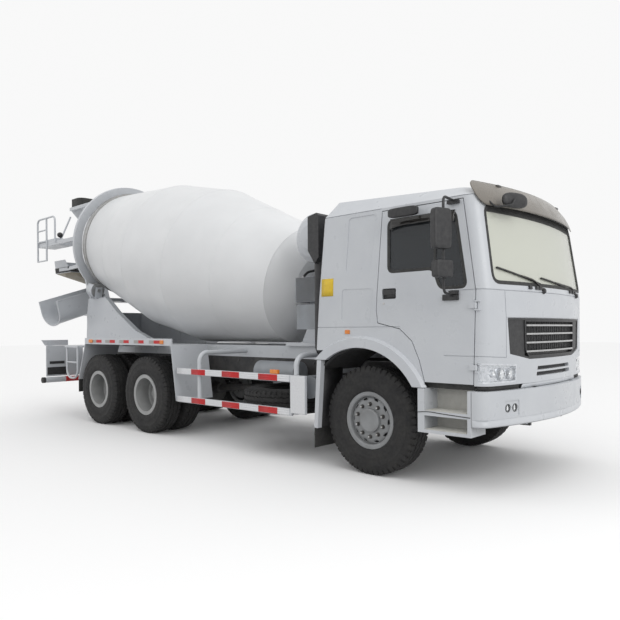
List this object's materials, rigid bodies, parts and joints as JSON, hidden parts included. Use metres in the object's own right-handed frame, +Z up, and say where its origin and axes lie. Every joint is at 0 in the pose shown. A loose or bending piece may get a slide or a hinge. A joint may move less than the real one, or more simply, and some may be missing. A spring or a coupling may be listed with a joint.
{
  "type": "concrete mixer truck",
  "caption": "Three-axle concrete mixer truck: tilting flat-nosed cab, inclined drum on rollers, charging hopper, discharge funnel and swinging chute.",
  "frame": {"origin": "on the ground under the middle of the overall length and width", "axes": "+X forwards, +Y to the truck's left, +Z up"},
  "size_m": [9.6808, 3.142, 4.158],
  "materials": {
    "white_paint": "gloss",
    "drum_paint": "gloss",
    "frame_paint": "satin",
    "grey_steel": "satin",
    "wheel_silver": "satin",
    "machined_steel": "machined",
    "cast_grey": "rough",
    "tyre": "matt",
    "rubber": "matt",
    "glass": "clear",
    "lamp": "clear",
    "red_lamp": "gloss",
    "dark_plastic": "matt",
    "visor_tint": "satin",
    "seat_fabric": "woven"
  },
  "bodies": {
    "chassis": {"chassis_frame": "frame_paint", "subframe": "white_paint", "engine": "cast_grey", "front_axle": "cast_grey", "rear_axles": "cast_grey", "side_tanks": "grey_steel", "spare_wheel": "tyre", "front_bumper": "white_paint", "cab_steps": "white_paint", "fenders": "white_paint", "mud_flaps": "rubber", "side_guards": "white_paint", "rear_bumper": "white_paint", "tail_lamps": "red_lamp", "reducer": "grey_steel", "front_pedestal": "white_paint", "rear_pedestal": "white_paint", "water_tank": "white_paint", "cooler_boxes": "grey_steel", "intake_snorkel": "dark_plastic", "hopper": "white_paint", "hopper_rim": "rubber", "funnel": "white_paint", "chute_post": "white_paint", "ladder": "white_paint"},
    "drum": {"drum_shell": "drum_paint", "drum_ring": "machined_steel"},
    "cab": {"cab_shell": "white_paint", "cab_nose": "white_paint", "grille": "dark_plastic", "headlamps": "lamp", "windscreen": "glass", "sun_visor": "visor_tint", "cab_interior": "dark_plastic", "seats": "seat_fabric"},
    "tie_rod": {"tie_rod": "frame_paint"},
    "chute_swivel": {"chute_swivel": "white_paint"},
    "chute": {"chute_trough": "white_paint"},
    "support_roller_right": {"support_roller_right": "machined_steel"},
    "knuckle_right": {"knuckle_right": "cast_grey"},
    "front_wheel_right": {"front_tyre_right": "tyre", "front_rim_right": "wheel_silver"},
    "rear_wheels_1_right": {"rear_tyres_1_right": "tyre", "rear_rims_1_right": "wheel_silver"},
    "rear_wheels_2_right": {"rear_tyres_2_right": "tyre", "rear_rims_2_right": "wheel_silver"},
    "door_right": {"door_right": "white_paint", "door_glass_right": "glass", "mirrors_right": "dark_plastic"},
    "support_roller_left": {"support_roller_left": "machined_steel"},
    "knuckle_left": {"knuckle_left": "cast_grey"},
    "front_wheel_left": {"front_tyre_left": "tyre", "front_rim_left": "wheel_silver"},
    "rear_wheels_1_left": {"rear_tyres_1_left": "tyre", "rear_rims_1_left": "wheel_silver"},
    "rear_wheels_2_left": {"rear_tyres_2_left": "tyre", "rear_rims_2_left": "wheel_silver"},
    "door_left": {"door_left": "white_paint", "door_glass_left": "glass", "mirrors_left": "dark_plastic"}
  },
  "joints": [
    {"name": "drum_spin", "type": "hinge", "parent": "chassis", "child": "drum", "pos_m": [1.3875, 0, 2.095], "axis": [-0.9755, 0, 0.2198], "continuous": true},
    {"name": "support_roller_right_spin", "type": "hinge", "parent": "chassis", "child": "support_roller_right", "pos_m": [-3.24986, -0.61103, 2.24555], "axis": [-0.9755, 0, 0.2198], "continuous": true},
    {"name": "steer_right", "type": "hinge", "parent": "chassis", "child": "knuckle_right", "pos_m": [3.3095, -0.9, 0.56], "axis": [0, 0, 1], "range_deg": [-36, 36]},
    {"name": "front_wheel_right_spin", "type": "hinge", "parent": "knuckle_right", "child": "front_wheel_right", "pos_m": [3.3095, -1.011, 0.56], "axis": [0, 1, 0], "continuous": true},
    {"name": "rear_wheels_1_right_spin", "type": "hinge", "parent": "chassis", "child": "rear_wheels_1_right", "pos_m": [-0.7155, -0.915, 0.56], "axis": [0, 1, 0], "continuous": true},
    {"name": "rear_wheels_2_right_spin", "type": "hinge", "parent": "chassis", "child": "rear_wheels_2_right", "pos_m": [-2.0655, -0.915, 0.56], "axis": [0, 1, 0], "continuous": true},
    {"name": "door_right_open", "type": "hinge", "parent": "cab", "child": "door_right", "pos_m": [4.5295, -1.206, 1.8], "axis": [0, 0, 1], "range_deg": [0, 65]},
    {"name": "support_roller_left_spin", "type": "hinge", "parent": "chassis", "child": "support_roller_left", "pos_m": [-3.24986, 0.61103, 2.24555], "axis": [-0.9755, 0, 0.2198], "continuous": true},
    {"name": "steer_left", "type": "hinge", "parent": "chassis", "child": "knuckle_left", "pos_m": [3.3095, 0.9, 0.56], "axis": [0, 0, 1], "range_deg": [-36, 36]},
    {"name": "front_wheel_left_spin", "type": "hinge", "parent": "knuckle_left", "child": "front_wheel_left", "pos_m": [3.3095, 1.011, 0.56], "axis": [0, 1, 0], "continuous": true},
    {"name": "rear_wheels_1_left_spin", "type": "hinge", "parent": "chassis", "child": "rear_wheels_1_left", "pos_m": [-0.7155, 0.915, 0.56], "axis": [0, 1, 0], "continuous": true},
    {"name": "rear_wheels_2_left_spin", "type": "hinge", "parent": "chassis", "child": "rear_wheels_2_left", "pos_m": [-2.0655, 0.915, 0.56], "axis": [0, 1, 0], "continuous": true},
    {"name": "door_left_open", "type": "hinge", "parent": "cab", "child": "door_left", "pos_m": [4.5295, 1.206, 1.8], "axis": [0, 0, -1], "range_deg": [0, 65]},
    {"name": "tie_rod_pivot", "type": "hinge", "parent": "knuckle_right", "child": "tie_rod", "pos_m": [3.0795, -0.815, 0.41], "axis": [0, 0, 1], "range_deg": [-39.6, 39.6]},
    {"name": "cab_tilt", "type": "hinge", "parent": "chassis", "child": "cab", "pos_m": [4.6395, 0, 0.6], "axis": [0, 1, 0], "range_deg": [0, 50]},
    {"name": "chute_turn", "type": "hinge", "parent": "chassis", "child": "chute_swivel", "pos_m": [-4.3905, 0, 2.03], "axis": [0, 0, 1], "range_deg": [-209.6, 0]},
    {"name": "chute_tilt", "type": "hinge", "parent": "chute_swivel", "child": "chute", "pos_m": [-4.3905, 0, 2.03], "axis": [0.9668, 0.2554, 0], "range_deg": [-12, 14]}
  ],
  "couplings": [
    {"joint": "support_roller_right_spin", "follows": "drum_spin", "ratio": -7.52},
    {"joint": "support_roller_left_spin", "follows": "drum_spin", "ratio": -7.52},
    {"joint": "steer_left", "follows": "steer_right", "ratio": 1},
    {"joint": "tie_rod_pivot", "follows": "steer_right", "ratio": -1.1}
  ]
}
